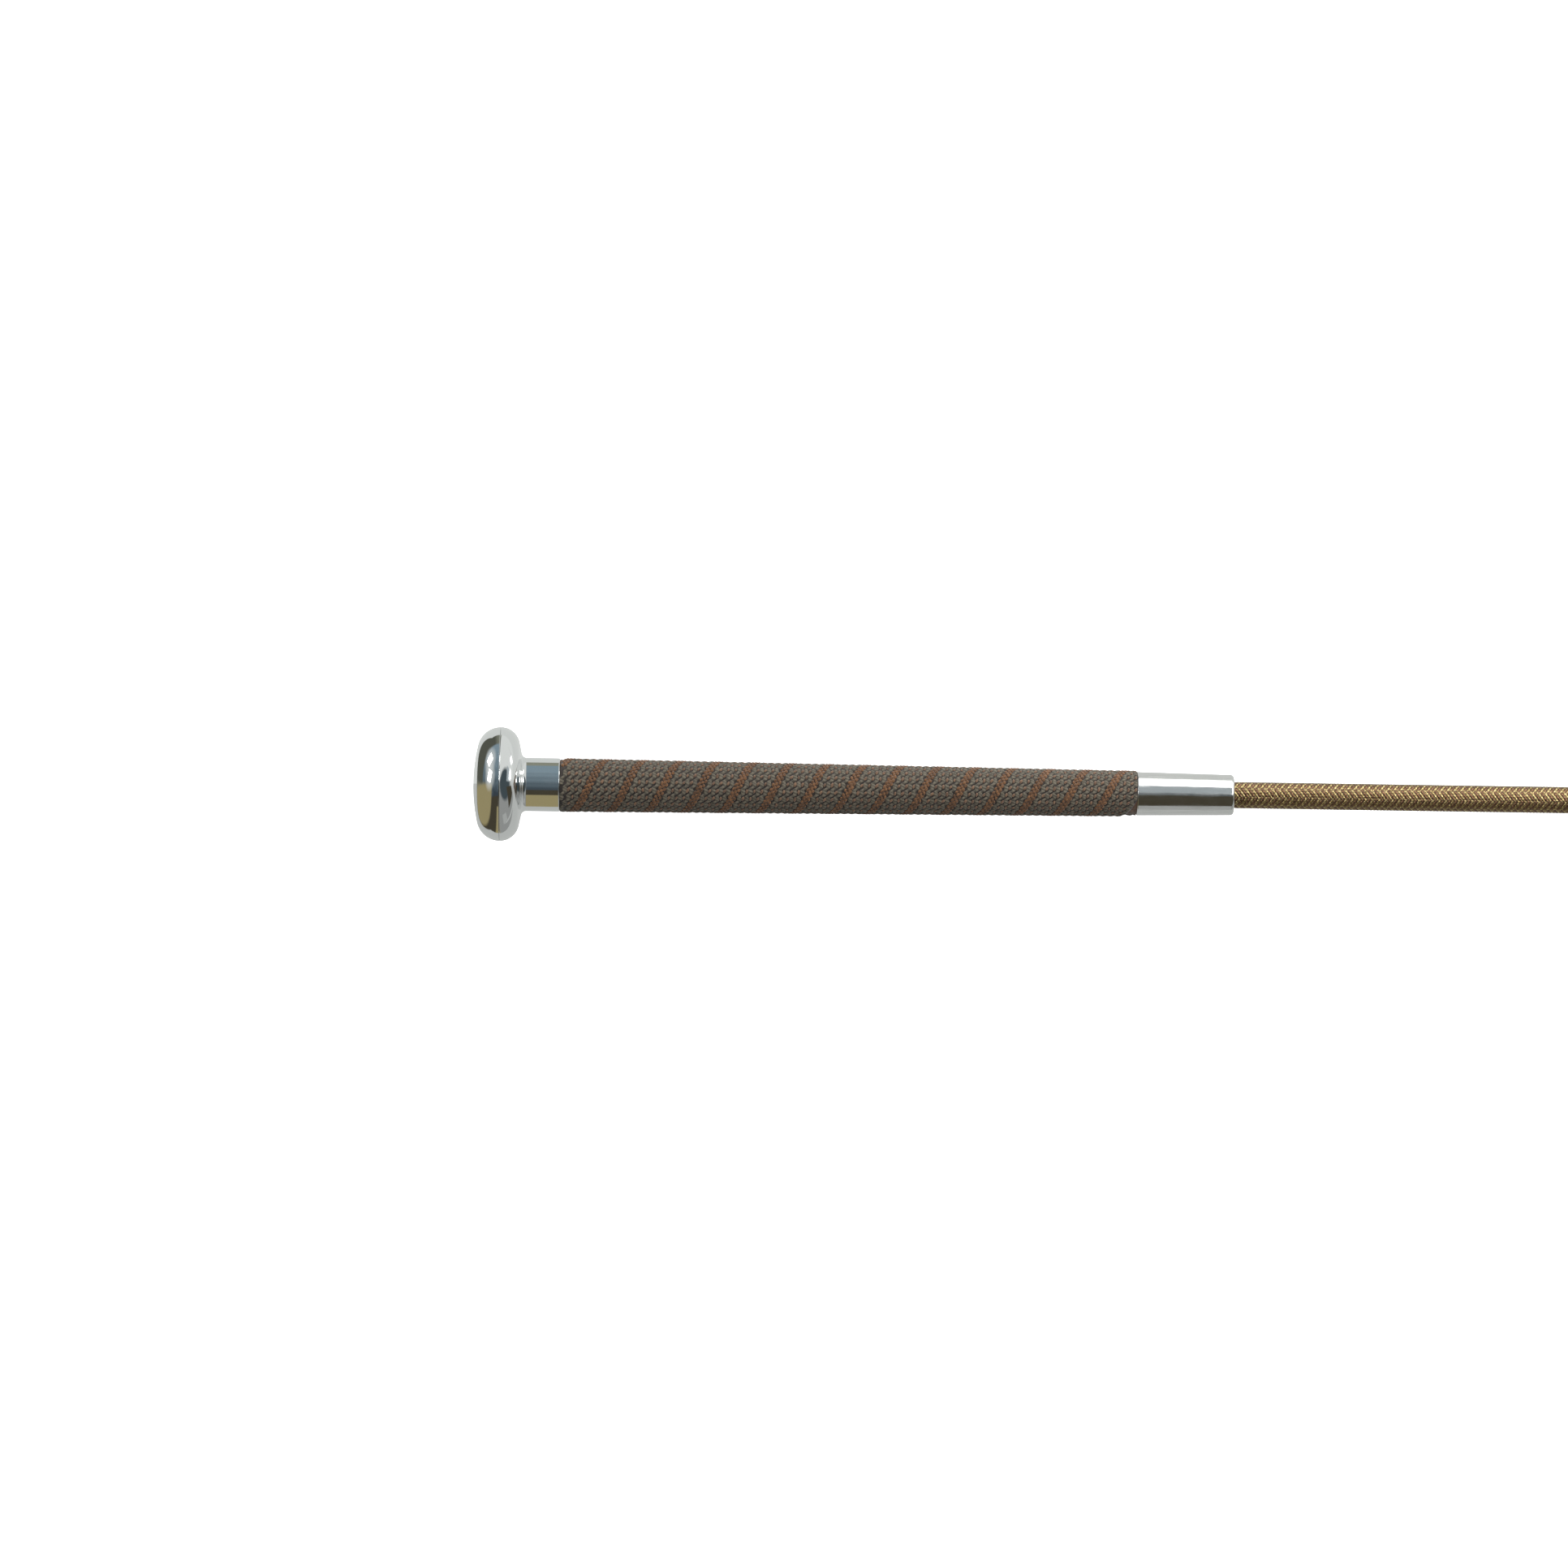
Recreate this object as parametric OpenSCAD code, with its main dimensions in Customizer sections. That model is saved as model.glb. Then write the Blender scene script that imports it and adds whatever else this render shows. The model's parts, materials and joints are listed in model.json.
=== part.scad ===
// Dressage whip: mushroom cap, tape-wound handle, ferrule, braided tapering shaft and a short lash.
// Millimetres, +Z up. The whip lies along X with its cap at -X, resting on the cap's rim and on the
// binding at its tip. The origin is under the middle of its bounding box, at the height it lies on.

/* [Overall] */
// Length of the whip from the crown of the cap to the end of the lash
whip_length = 1100; // [900:10:1300]
// Length of the lash beyond the binding at the tip
lash_length = 50; // [30:1:70]

/* [Cap] */
// Diameter of the mushroom head
cap_d = 34; // [28:0.5:42]
// Distance from the crown back to the widest circle of the head
rim_depth = 8.1; // [7.6:0.1:10]
// Rounding of the rim towards the crown
shoulder_r = 7; // [5:0.1:7.2]
// Rounding of the rim towards the handle
back_r = 5.7; // [4.5:0.1:7]
// Slope of the back of the head, in degrees
back_slope = 12; // [5:1:20]
// Thickness of the pressed shells of the head
shell_t = 0.9; // [0.6:0.1:1.3]
// Outer diameter of the neck
neck_d = 15.9; // [13:0.1:19]
// Length of the neck from the rim's widest circle to the grip
neck_length = 17.7; // [14:0.1:22]
// Wall of the neck
neck_wall = 1; // [0.7:0.1:1.5]
// Fillet between the head and the neck
neck_fillet = 1.5; // [0.8:0.1:2.5]
// Thickness of the web that closes the neck inside the head
web_t = 1.6; // [1:0.1:2.5]

/* [Cap screw] */
// Diameter of the screw's shank
screw_d = 4; // [3:0.1:5]
// Length of the screw under its head
screw_length = 22; // [16:1:30]
// Diameter of the screw's head
screw_head_d = 7.6; // [6:0.1:9.5]
// Height of the screw's head
screw_head_h = 2.4; // [1.8:0.1:3.2]

/* [Handle] */
// Length of the wound grip
grip_length = 172; // [130:1:210]
// Diameter over the tape at the neck
grip_d_neck = 16.1; // [13.4:0.1:19.4]
// Diameter over the tape at the ferrule
grip_d_ferrule = 13.8; // [12.6:0.1:16.6]
// Thickness of the woven tape
tape_t = 0.65; // [0.4:0.05:0.9]
// Thickness of the sticky cloth under the tape
underlay_t = 0.25; // [0.1:0.05:0.4]
// Distance that the rod stops short of the screw's point
rod_root_gap = 4; // [2:1:20]

/* [Ferrule] */
// Length of the ferrule
ferrule_length = 29; // [20:0.5:40]
// Diameter of the ferrule at the grip
ferrule_d_back = 13; // [12.2:0.1:15.6]
// Diameter of the ferrule at the shaft
ferrule_d_front = 12.1; // [11.8:0.1:14.6]
// Wall of the ferrule at its front
ferrule_wall = 0.5; // [0.4:0.05:0.8]
// Rounding of the ferrule's front edge
ferrule_edge_r = 1; // [0.5:0.1:1.4]
// Thickness of the ferrule's front lip
ferrule_lip = 2; // [1.5:0.1:3]
// Length of the braid that is held inside the handle
braid_root = 14; // [8:1:40]
// How far the braid's radius is squeezed inside the ferrule and the handle
braid_squeeze = 0.25; // [0.2:0.05:0.35]

/* [Shaft] */
// Diameter of the braided shaft at the ferrule
shaft_d = 8.1; // [6.7:0.1:9.8]
// Length of the shaft that stays parallel in front of the ferrule
parallel_length = 100; // [60:5:160]
// Diameter of the braided shaft at its tip
tip_d = 3; // [2.5:0.1:3.6]
// Thickness of the braid
braid_t = 0.6; // [0.4:0.05:0.7]

/* [Tip] */
// Length of the thread binding at the tip
binding_length = 30; // [20:1:45]
// Thickness of the thread binding
binding_t = 0.4; // [0.25:0.05:0.6]
// Thickness of the layer of lash yarns that the binding holds
lash_root_t = 0.3; // [0.2:0.05:0.4]
// Radius of the lash where it leaves the binding
lash_r_mouth = 1.45; // [1.2:0.05:1.6]
// Radius of the lash near its end
lash_r_end = 1.9; // [1.5:0.05:2]

/* [Fits] */
// Gap between pieces that are glued, wound or pressed together
glue_gap = 0.05; // [0.02:0.01:0.1]
// Gap between the lash and the mouth of the binding
mouth_gap = 0.3; // [0.2:0.05:0.6]

/* [Hidden] */
$fn = 96;

// Stations along the whip's own axis, from the crown at 0 towards the lash.
grip_start = rim_depth + neck_length;
grip_end = grip_start + grip_length;
ferrule_end = grip_end + ferrule_length;
parallel_end = ferrule_end + parallel_length;
tip_end = whip_length - lash_length;
braid_start = grip_end - braid_root;
braid_end = tip_end - glue_gap;
rod_end = braid_end - braid_t;
binding_start = tip_end - binding_length;
lash_root_start = binding_start + 2;

// Radii of the head, and the points where its arcs meet.
cap_r = cap_d / 2;
neck_r = neck_d / 2;
shoulder_c = [cap_r - shoulder_r, rim_depth];
back_c = [cap_r - back_r, rim_depth];
// The dome's arc is centred on the axis and runs smoothly into the shoulder's arc.
dome_r = (pow(shoulder_c[0], 2) - pow(shoulder_r, 2) + pow(rim_depth, 2)) / (2 * (rim_depth - shoulder_r));
dome_c = [0, dome_r];
dome_dir = (shoulder_c - dome_c) / norm(shoulder_c - dome_c);
back_dir = [sin(back_slope), cos(back_slope)];
web_face = rim_depth + (back_r - shell_t) * back_dir[1];
socket_floor = web_face + web_t;
socket_r = neck_r - neck_wall;
screw_end = web_face + screw_length;
rod_start = screw_end + rod_root_gap;

// Radii of the handle's layers at a station: each one follows the tape's outer cone.
function grip_r(s) = grip_d_neck / 2 + (grip_d_ferrule - grip_d_neck) / 2 * (s - grip_start) / grip_length;
function underlay_r(s) = grip_r(s) - tape_t - glue_gap;
function core_r(s) = underlay_r(s) - underlay_t - glue_gap;
// Radii of the shaft's layers at a station: parallel at first, then an even taper to the tip.
function braid_r(s) = s < parallel_end ? shaft_d / 2
    : shaft_d / 2 + (tip_d - shaft_d) / 2 * (s - parallel_end) / (tip_end - parallel_end);
function rod_r(s) = braid_r(s) - braid_t - glue_gap;
function lash_root_r(s) = braid_r(s) + glue_gap + lash_root_t;
function binding_r(s) = lash_root_r(s) + glue_gap + binding_t;

ferrule_bore_r = ferrule_d_front / 2 - ferrule_wall;
braid_root_r = shaft_d / 2 - braid_squeeze;
spigot_end = ferrule_end - ferrule_lip - glue_gap;

// The tilt that lets the cap's rim and the end of the binding rest on one plane.
run = tip_end - rim_depth;
drop = back_c[0] - binding_r(tip_end);
tilt = atan2(drop, run) + asin(back_r / norm([run, drop]));
axis_z = back_c[0] * cos(tilt) + back_r + rim_depth * sin(tilt);
pivot_s = tip_end + lash_r_mouth + mouth_gap;
lash_reach = lash_length - lash_r_mouth - mouth_gap;
crown_back = dome_r * (1 - cos(tilt));
axis_x = (crown_back - pivot_s * cos(tilt) - lash_reach) / 2;

// Puts a shape that is built along its own +Z onto the whip's axis.
module placed() {
    translate([axis_x, 0, axis_z]) rotate([0, 90 + tilt, 0]) children();
}

module turned(points) {
    placed() rotate_extrude() polygon(points);
}

// Half outline of the head in front of its widest circle, drawn in by an inset.
module front_outline(inset) {
    meet = dome_c + dome_dir * (dome_r - inset);
    intersection() {
        translate(dome_c) circle(dome_r - inset, $fn = 360);
        polygon([[0, -1], [meet[0], -1], meet, shoulder_c, [0, rim_depth]]);
    }
    intersection() {
        translate(shoulder_c) circle(shoulder_r - inset);
        polygon([shoulder_c, meet, [meet[0], -1], [cap_r + 1, -1], [cap_r + 1, rim_depth]]);
    }
}

// Half outline of the hollow of the head behind its widest circle, drawn in by an inset.
module back_hollow(inset) {
    corner = back_c + back_dir * (back_r - inset);
    flat = [corner[0], web_face - inset + shell_t];
    polygon([[0, rim_depth], back_c, flat, [0, flat[1]]]);
    intersection() {
        translate(back_c) circle(back_r - inset);
        polygon([back_c, [cap_r + 1, rim_depth], [cap_r + 1, flat[1]], flat]);
    }
}

// Half outline of the head's back and the neck, filleted where they meet.
module back_outline() {
    edge = back_c + back_dir * back_r;
    fillet_r = neck_r + neck_fillet;
    fillet_s = edge[1] + (edge[0] - fillet_r) * tan(back_slope) + neck_fillet / cos(back_slope);
    fillet_c = [fillet_r, fillet_s];
    difference() {
        polygon([[0, rim_depth], back_c, edge, fillet_c - back_dir * neck_fillet, fillet_c,
                 [neck_r, fillet_s], [neck_r, grip_start], [0, grip_start]]);
        translate(fillet_c) circle(neck_fillet);
    }
    intersection() {
        translate(back_c) circle(back_r);
        polygon([back_c, [cap_r + 1, rim_depth], [cap_r + 1, edge[1]], edge]);
    }
}

// Chromed front shell of the head, joined to the back shell at the widest circle.
module cap_dome() {
    color("gainsboro") placed() rotate_extrude() difference() {
        front_outline(0);
        front_outline(shell_t);
        translate([0, rim_depth - glue_gap]) square([cap_r + 1, 1]);
    }
}

// Chromed back shell of the head, in one piece with the neck that sleeves the handle.
module cap_back() {
    color("gainsboro") placed() rotate_extrude() difference() {
        back_outline();
        back_hollow(shell_t);
        translate([0, socket_floor]) square([socket_r, grip_start]);
        square([screw_d / 2 + 4 * glue_gap, grip_start]);
    }
}

// Moulded core that backs the thin shells and covers the screw's head.
module cap_core() {
    color("dimgray") placed() rotate_extrude() difference() {
        union() {
            front_outline(shell_t + glue_gap);
            back_hollow(shell_t + glue_gap);
        }
        translate([0, web_face - screw_head_h - 4 * glue_gap])
            square([screw_head_d / 2 + 4 * glue_gap, screw_head_h + 1]);
    }
}

// Screw that holds the cap on the handle's core.
module cap_screw() {
    slot = screw_head_d / 6;
    color("silver") placed() difference() {
        union() {
            translate([0, 0, web_face - screw_head_h]) cylinder(h = screw_head_h, d = screw_head_d);
            translate([0, 0, web_face - 0.5]) cylinder(h = screw_length - screw_d + 0.5, d = screw_d);
            translate([0, 0, screw_end - screw_d]) cylinder(h = screw_d, d1 = screw_d, d2 = screw_d / 4);
        }
        for (turn = [0, 90]) rotate(turn)
            translate([-screw_head_d / 3, -slot / 2, web_face - screw_head_h - 1])
                cube([screw_head_d * 2 / 3, slot, 1 + screw_head_h / 2]);
    }
}

// Moulded body of the handle, with a spigot for the neck and one for the ferrule.
module handle_core() {
    color("saddlebrown") placed() difference() {
        rotate_extrude() polygon([
            [0, socket_floor + glue_gap], [socket_r - glue_gap, socket_floor + glue_gap],
            [socket_r - glue_gap, grip_start], [core_r(grip_start), grip_start + glue_gap],
            [core_r(grip_end), grip_end - glue_gap], [ferrule_bore_r - glue_gap, grip_end],
            [ferrule_bore_r - glue_gap, spigot_end], [0, spigot_end]]);
        translate([0, 0, socket_floor]) cylinder(h = screw_end + 1 - socket_floor, r = screw_d / 2 + glue_gap);
        translate([0, 0, rod_start - glue_gap]) cylinder(h = whip_length, r = rod_r(rod_start) + glue_gap);
        translate([0, 0, braid_start - glue_gap]) cylinder(h = whip_length, r = braid_root_r + glue_gap);
    }
}

// Sticky cloth that the tape is wound on.
module grip_underlay() {
    color("burlywood") turned([
        [underlay_r(grip_start) - underlay_t, grip_start + glue_gap],
        [underlay_r(grip_start), grip_start + glue_gap],
        [underlay_r(grip_end), grip_end - glue_gap],
        [underlay_r(grip_end) - underlay_t, grip_end - glue_gap]]);
}

// Woven tape, wound edge to edge: the solid is its outer cone.
module grip_tape() {
    color([0.35, 0.31, 0.27]) turned([
        [grip_r(grip_start) - tape_t, grip_start + glue_gap],
        [grip_r(grip_start), grip_start + glue_gap],
        [grip_r(grip_end), grip_end - glue_gap],
        [grip_r(grip_end) - tape_t, grip_end - glue_gap]]);
}

// Polished sleeve that closes the handle on the shaft, with a rounded front edge.
module ferrule() {
    front_r = ferrule_d_front / 2;
    edge_c = [front_r - ferrule_edge_r, ferrule_end - ferrule_edge_r];
    color("lightgray") placed() rotate_extrude() difference() {
        union() {
            polygon([[0, grip_end], [ferrule_d_back / 2, grip_end], [front_r, edge_c[1]],
                     edge_c, [edge_c[0], ferrule_end], [0, ferrule_end]]);
            intersection() {
                translate(edge_c) circle(ferrule_edge_r);
                translate(edge_c) square(ferrule_edge_r);
            }
        }
        square([braid_root_r + glue_gap, whip_length]);
        square([ferrule_bore_r, ferrule_end - ferrule_lip]);
    }
}

// Glass-fibre rod, parallel in the handle and tapering to the tip.
module rod() {
    color("ivory") turned([
        [0, rod_start], [rod_r(rod_start), rod_start], [rod_r(parallel_end), parallel_end],
        [rod_r(rod_end), rod_end], [0, rod_end]]);
}

// Braided thread cover, closed over the end of the rod.
module braid_cover() {
    color("peru") placed() difference() {
        rotate_extrude() polygon([
            [0, braid_start], [braid_root_r, braid_start], [braid_root_r, ferrule_end + glue_gap],
            [shaft_d / 2, ferrule_end + glue_gap], [shaft_d / 2, parallel_end],
            [braid_r(braid_end), braid_end], [0, braid_end]]);
        rotate_extrude() polygon([
            [0, braid_start - 1], [rod_r(parallel_end) + glue_gap, braid_start - 1],
            [rod_r(parallel_end) + glue_gap, parallel_end],
            [rod_r(rod_end) + glue_gap, rod_end + glue_gap], [0, rod_end + glue_gap]]);
    }
}

// Layer of lash yarns laid round the tip under the binding.
module lash_root() {
    color("tan") turned([
        [braid_r(lash_root_start) + glue_gap, lash_root_start],
        [lash_root_r(lash_root_start), lash_root_start],
        [lash_root_r(tip_end), tip_end], [braid_r(tip_end) + glue_gap, tip_end]]);
}

// Thread binding wound over the tip: its end is the whip's second point of rest.
module tip_binding() {
    color("sienna") placed() difference() {
        rotate_extrude() polygon([
            [0, binding_start], [binding_r(binding_start), binding_start],
            [binding_r(tip_end), tip_end], [0, tip_end]]);
        rotate_extrude() polygon([
            [0, binding_start - 1], [braid_r(binding_start) + glue_gap, binding_start - 1],
            [braid_r(lash_root_start) + glue_gap, lash_root_start - glue_gap],
            [lash_root_r(lash_root_start) + glue_gap, lash_root_start - glue_gap],
            [lash_root_r(tip_end) + glue_gap, tip_end + 1], [0, tip_end + 1]]);
    }
}

// Loose yarns of the lash: a plain solid of their outer shape, which swings on a ball at its root.
module lash_tuft() {
    body_length = lash_reach - lash_r_end;
    color("tan") placed() translate([0, 0, pivot_s]) rotate([0, -tilt, 0]) {
        sphere(lash_r_mouth);
        cylinder(h = body_length, r1 = lash_r_mouth, r2 = lash_r_end);
        translate([0, 0, body_length]) sphere(lash_r_end);
    }
}

cap_dome();
cap_back();
cap_core();
cap_screw();
handle_core();
grip_underlay();
grip_tape();
ferrule();
rod();
braid_cover();
tip_binding();
lash_root();
lash_tuft();
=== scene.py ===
import json
import math
import random
from collections import namedtuple

import bmesh
import bpy
import numpy as np
from mathutils import Matrix, Vector


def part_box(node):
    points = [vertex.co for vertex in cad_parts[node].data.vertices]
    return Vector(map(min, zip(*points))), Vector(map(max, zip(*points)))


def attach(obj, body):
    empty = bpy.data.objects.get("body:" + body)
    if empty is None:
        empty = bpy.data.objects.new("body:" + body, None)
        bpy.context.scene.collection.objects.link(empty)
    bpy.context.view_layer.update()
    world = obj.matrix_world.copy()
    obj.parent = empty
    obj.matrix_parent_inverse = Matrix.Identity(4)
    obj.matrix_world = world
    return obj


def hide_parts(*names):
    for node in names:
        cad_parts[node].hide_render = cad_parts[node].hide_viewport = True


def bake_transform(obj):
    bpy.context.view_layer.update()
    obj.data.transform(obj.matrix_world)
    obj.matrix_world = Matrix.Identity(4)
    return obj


bl_info = {
    "name": "Riding whip",
    "version": (1, 0, 0),
    "blender": (4, 5, 0),
    "location": "3D View > Sidebar > Whip",
    "description": "Looks of a riding whip, built round its packed CAD model, and a stage to show it on",
    "category": "Object",
}

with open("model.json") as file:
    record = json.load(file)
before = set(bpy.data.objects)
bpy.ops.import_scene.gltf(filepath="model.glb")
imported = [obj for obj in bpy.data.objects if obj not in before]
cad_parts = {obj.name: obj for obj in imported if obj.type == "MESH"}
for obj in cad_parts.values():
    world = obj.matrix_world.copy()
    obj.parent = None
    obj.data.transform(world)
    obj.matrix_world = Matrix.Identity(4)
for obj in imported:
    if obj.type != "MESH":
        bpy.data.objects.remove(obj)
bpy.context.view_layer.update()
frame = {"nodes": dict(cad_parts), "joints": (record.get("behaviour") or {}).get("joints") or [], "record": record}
MM = 0.001
ROUND = 192                     # segments of the spun metal pieces
SHARP = math.radians(35)        # edges over this angle stay sharp


# ---------------------------------------------------------------- the whip's own axis

def whip_axis():
    """Matrix from the whip's own frame to the shared one: X runs from the crown to the tip, Z is up."""
    mount = next(m for m in frame["record"]["mounts"] if m["name"] == "shaft_root")
    along = Vector(mount["axis"]).normalized()
    across = Vector((0, 1, 0))
    up = along.cross(across)
    point = Vector(mount["pos_m"])
    reach = min((v.co - point).dot(along) for v in frame["nodes"]["cap_dome"].data.vertices)
    turn = Matrix((along, across, up)).transposed().to_4x4()
    return Matrix.Translation(point + along * reach) @ turn


WHIP = whip_axis()
Outline = namedtuple("Outline", "stations radii")


def outline(node):
    """Stations from the crown and radii of the taut line over a CAD node's outside."""
    back = WHIP.inverted()
    rings = {}
    for vertex in frame["nodes"][node].data.vertices:
        p = back @ vertex.co
        station = round(p.x, 5)
        rings[station] = max(rings.get(station, 0), math.hypot(p.y, p.z))
    taut = []
    for s, r in sorted(rings.items()):
        while len(taut) > 1 and ((taut[-1][0] - taut[-2][0]) * (r - taut[-2][1])
                                 >= (taut[-1][1] - taut[-2][1]) * (s - taut[-2][0])):
            taut.pop()
        taut.append((s, r))
    return Outline(*(np.array(column) for column in zip(*taut)))


CAP_DOME = outline("cap_dome")
CAP_BACK = outline("cap_back")
GRIP = outline("grip_tape")
FERRULE = outline("ferrule")
BRAID = outline("braid_cover")
BINDING = outline("tip_binding")


def polar(points):
    """Station, radius and angle of points in the whip's frame. The angle turns from up (+Z) towards +Y."""
    return points[:, 0], np.hypot(points[:, 1], points[:, 2]), np.arctan2(points[:, 1], points[:, 2])


def around(station, radius, angle):
    """Points in the whip's frame from their station, radius and angle."""
    return np.column_stack((station, radius * np.sin(angle), radius * np.cos(angle)))


# ---------------------------------------------------------------- meshes

def mesh_points(mesh):
    points = np.empty(len(mesh.vertices) * 3)
    mesh.vertices.foreach_get("co", points)
    return points.reshape(-1, 3)


def set_points(mesh, points):
    mesh.vertices.foreach_set("co", points.astype(np.float32).ravel())
    mesh.update()


def finish_piece(name, mesh, material, body="whip", nodes=()):
    """Puts a mesh that was made in the whip's frame in its place, and makes it a piece of the whip."""
    mesh.name = name
    mesh.transform(WHIP)
    piece = bpy.data.objects.new(name, mesh)
    bpy.context.scene.collection.objects.link(piece)
    mesh.materials.clear()
    mesh.materials.append(material)
    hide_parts(*nodes)
    if body:
        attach(piece, body)
    return piece


def arc(centre, radius, start, end, steps):
    """Points (station, radius) of an arc. The angle is 0 towards the crown and 90 away from the axis."""
    angles = [math.radians(start + (end - start) * i / steps) for i in range(steps + 1)]
    return [(centre[0] - radius * math.cos(a), centre[1] + radius * math.sin(a)) for a in angles]


def held(points, closed, reach):
    """The outline with points close to the ends of its long straight parts, so that they look straight."""
    out = []
    for first, second in zip(points, points[1:] + points[:1]):
        out.append(first)
        share = reach / max(math.dist(first, second), reach)
        if share < 0.05 and (closed or first is not points[-1]):
            for part in (share, 1 - share):
                out.append(tuple(a + (b - a) * part for a, b in zip(first, second)))
    return out


def spun(points, closed):
    """Mesh of a half outline in metres spun about the whip's axis."""
    bm = bmesh.new()
    points = held(points, closed, 0.03 * MM)
    verts = [bm.verts.new((s, 0, r)) for s, r in points]
    ends = verts[1:] + verts[:1] if closed else verts[1:]
    edges = [bm.edges.new(pair) for pair in zip(verts, ends)]
    bmesh.ops.spin(bm, geom=verts + edges, cent=(0, 0, 0), axis=(1, 0, 0), dvec=(0, 0, 0),
                   angle=math.tau, steps=ROUND, use_merge=True, use_duplicate=False)
    bmesh.ops.remove_doubles(bm, verts=bm.verts, dist=1e-6)
    bmesh.ops.recalc_face_normals(bm, faces=bm.faces)
    for face in bm.faces:
        face.smooth = True
    for edge in bm.edges:
        edge.smooth = edge.calc_face_angle(0) < SHARP
    mesh = bpy.data.meshes.new("spun")
    bm.to_mesh(mesh)
    bm.free()
    return mesh


def oval(bm, station, radius, angle, half_wide, half_high, sides):
    """One oval ring in the plane through the whip's axis, as the section of a thread."""
    place = Matrix.Rotation(-angle, 4, "X") @ Matrix.Translation((station, 0, radius))
    lie = Matrix.Rotation(math.pi / 2, 4, "X")
    shape = Matrix.Diagonal((half_wide, half_high, 1, 1))
    bmesh.ops.create_circle(bm, segments=sides, radius=1, matrix=place @ lie @ shape)


def wound(section, lead, angle, per_turn):
    """Mesh of sections wound about the whip's axis, and how far round each vertex has been carried.

    A positive angle winds from up towards +Y, which is a left-handed helix.
    """
    mesh = bpy.data.meshes.new("section")
    section.to_mesh(mesh)
    in_section = len(mesh.vertices)
    section.free()
    holder = bpy.data.objects.new("section", mesh)
    bpy.context.scene.collection.objects.link(holder)
    screw = holder.modifiers.new("wind", "SCREW")
    screw.axis = "X"
    screw.angle = -angle
    screw.screw_offset = lead * abs(angle) / math.tau
    screw.steps = screw.render_steps = max(2, round(per_turn * abs(angle) / math.tau))
    screw.use_merge_vertices = False
    screw.use_smooth_shade = True
    made = bpy.data.meshes.new_from_object(holder.evaluated_get(bpy.context.evaluated_depsgraph_get()))
    bpy.data.objects.remove(holder)
    carried = (np.arange(len(made.vertices)) // in_section) * (angle / screw.steps)
    return made, carried


def close_ends(mesh):
    """Fills the open ends of a mesh, turns its faces outwards and shades it smooth."""
    bm = bmesh.new()
    bm.from_mesh(mesh)
    bmesh.ops.holes_fill(bm, edges=[e for e in bm.edges if e.is_boundary], sides=0)
    bmesh.ops.recalc_face_normals(bm, faces=bm.faces)
    for face in bm.faces:
        face.smooth = True
    bm.to_mesh(mesh)
    bm.free()


def scattered(places):
    """Copies of one small ball, each put in its own place by a matrix."""
    bm = bmesh.new()
    bmesh.ops.create_uvsphere(bm, u_segments=8, v_segments=5, radius=1)
    ball = bpy.data.meshes.new("ball")
    bm.to_mesh(ball)
    bm.free()
    holder = bpy.data.objects.new("ball", ball)
    bpy.context.scene.collection.objects.link(holder)
    copies = holder.modifiers.new("copies", "ARRAY")
    copies.count = len(places)
    copies.use_relative_offset = False
    made = bpy.data.meshes.new_from_object(holder.evaluated_get(bpy.context.evaluated_depsgraph_get()))
    bpy.data.objects.remove(holder)
    points = mesh_points(made).reshape(len(places), -1, 3)
    moves = np.array([[list(row) for row in place] for place in places])
    points = np.einsum("nij,nkj->nki", moves[:, :3, :3], points) + moves[:, None, :3, 3]
    set_points(made, points)
    for face in made.polygons:
        face.use_smooth = True
    return made


def set_attribute(mesh, name, values):
    """Writes one number for each vertex, which a material can read."""
    layer = mesh.attributes.new(name, "FLOAT", "POINT")
    layer.data.foreach_set("value", np.asarray(values, np.float32))


def joined(meshes):
    """One mesh from several, with their attributes."""
    bm = bmesh.new()
    for mesh in meshes:
        bm.from_mesh(mesh)
        bpy.data.meshes.remove(mesh)
    mesh = bpy.data.meshes.new("joined")
    bm.to_mesh(mesh)
    bm.free()
    return mesh


# ---------------------------------------------------------------- materials

def add(tree, kind, settings=None, **inputs):
    """A node with its settings and input values. A socket given as a value is linked."""
    node = tree.nodes.new(kind)
    for name, value in (settings or {}).items():
        setattr(node, name, value)
    for name, value in inputs.items():
        socket = node.inputs[int(name[1:]) if name[0] == "_" else name.replace("_", " ")]
        if isinstance(value, bpy.types.NodeSocket):
            tree.links.new(value, socket)
        else:
            socket.default_value = value
    return node


def new_material(name, base, roughness, **sockets):
    """A new material with its shader's plain values, and the tree that detail is added to."""
    material = bpy.data.materials.new(name)
    material.use_nodes = True
    tree = material.node_tree
    shader = tree.nodes["Principled BSDF"]
    shader.inputs["Base Color"].default_value = (*base, 1)
    shader.inputs["Roughness"].default_value = roughness
    for socket, value in sockets.items():
        shader.inputs[socket.replace("_", " ")].default_value = value
    return material, tree, shader


def place_on(tree, stretch=(1, 1, 1)):
    """Object coordinates, stretched along the shared axes."""
    where = add(tree, "ShaderNodeTexCoord").outputs["Object"]
    return add(tree, "ShaderNodeMapping", Vector=where, Scale=stretch).outputs[0]


def noise_on(tree, where, scale, detail=4):
    return add(tree, "ShaderNodeTexNoise", Vector=where, Scale=scale, Detail=detail).outputs["Fac"]


def spread(tree, value, low, high, to_low=0.0, to_high=1.0):
    """A value stretched from one range to another, and held inside it."""
    return add(tree, "ShaderNodeMapRange", Value=value, From_Min=low, From_Max=high,
               To_Min=to_low, To_Max=to_high).outputs["Result"]


def blended(tree, factor, first, second):
    """A mix of two colours, each of them a colour or a socket."""
    first, second = (c if isinstance(c, bpy.types.NodeSocket) else (*c, 1) for c in (first, second))
    return add(tree, "ShaderNodeMix", {"data_type": "RGBA"}, _0=factor, _6=first, _7=second).outputs[2]


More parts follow.
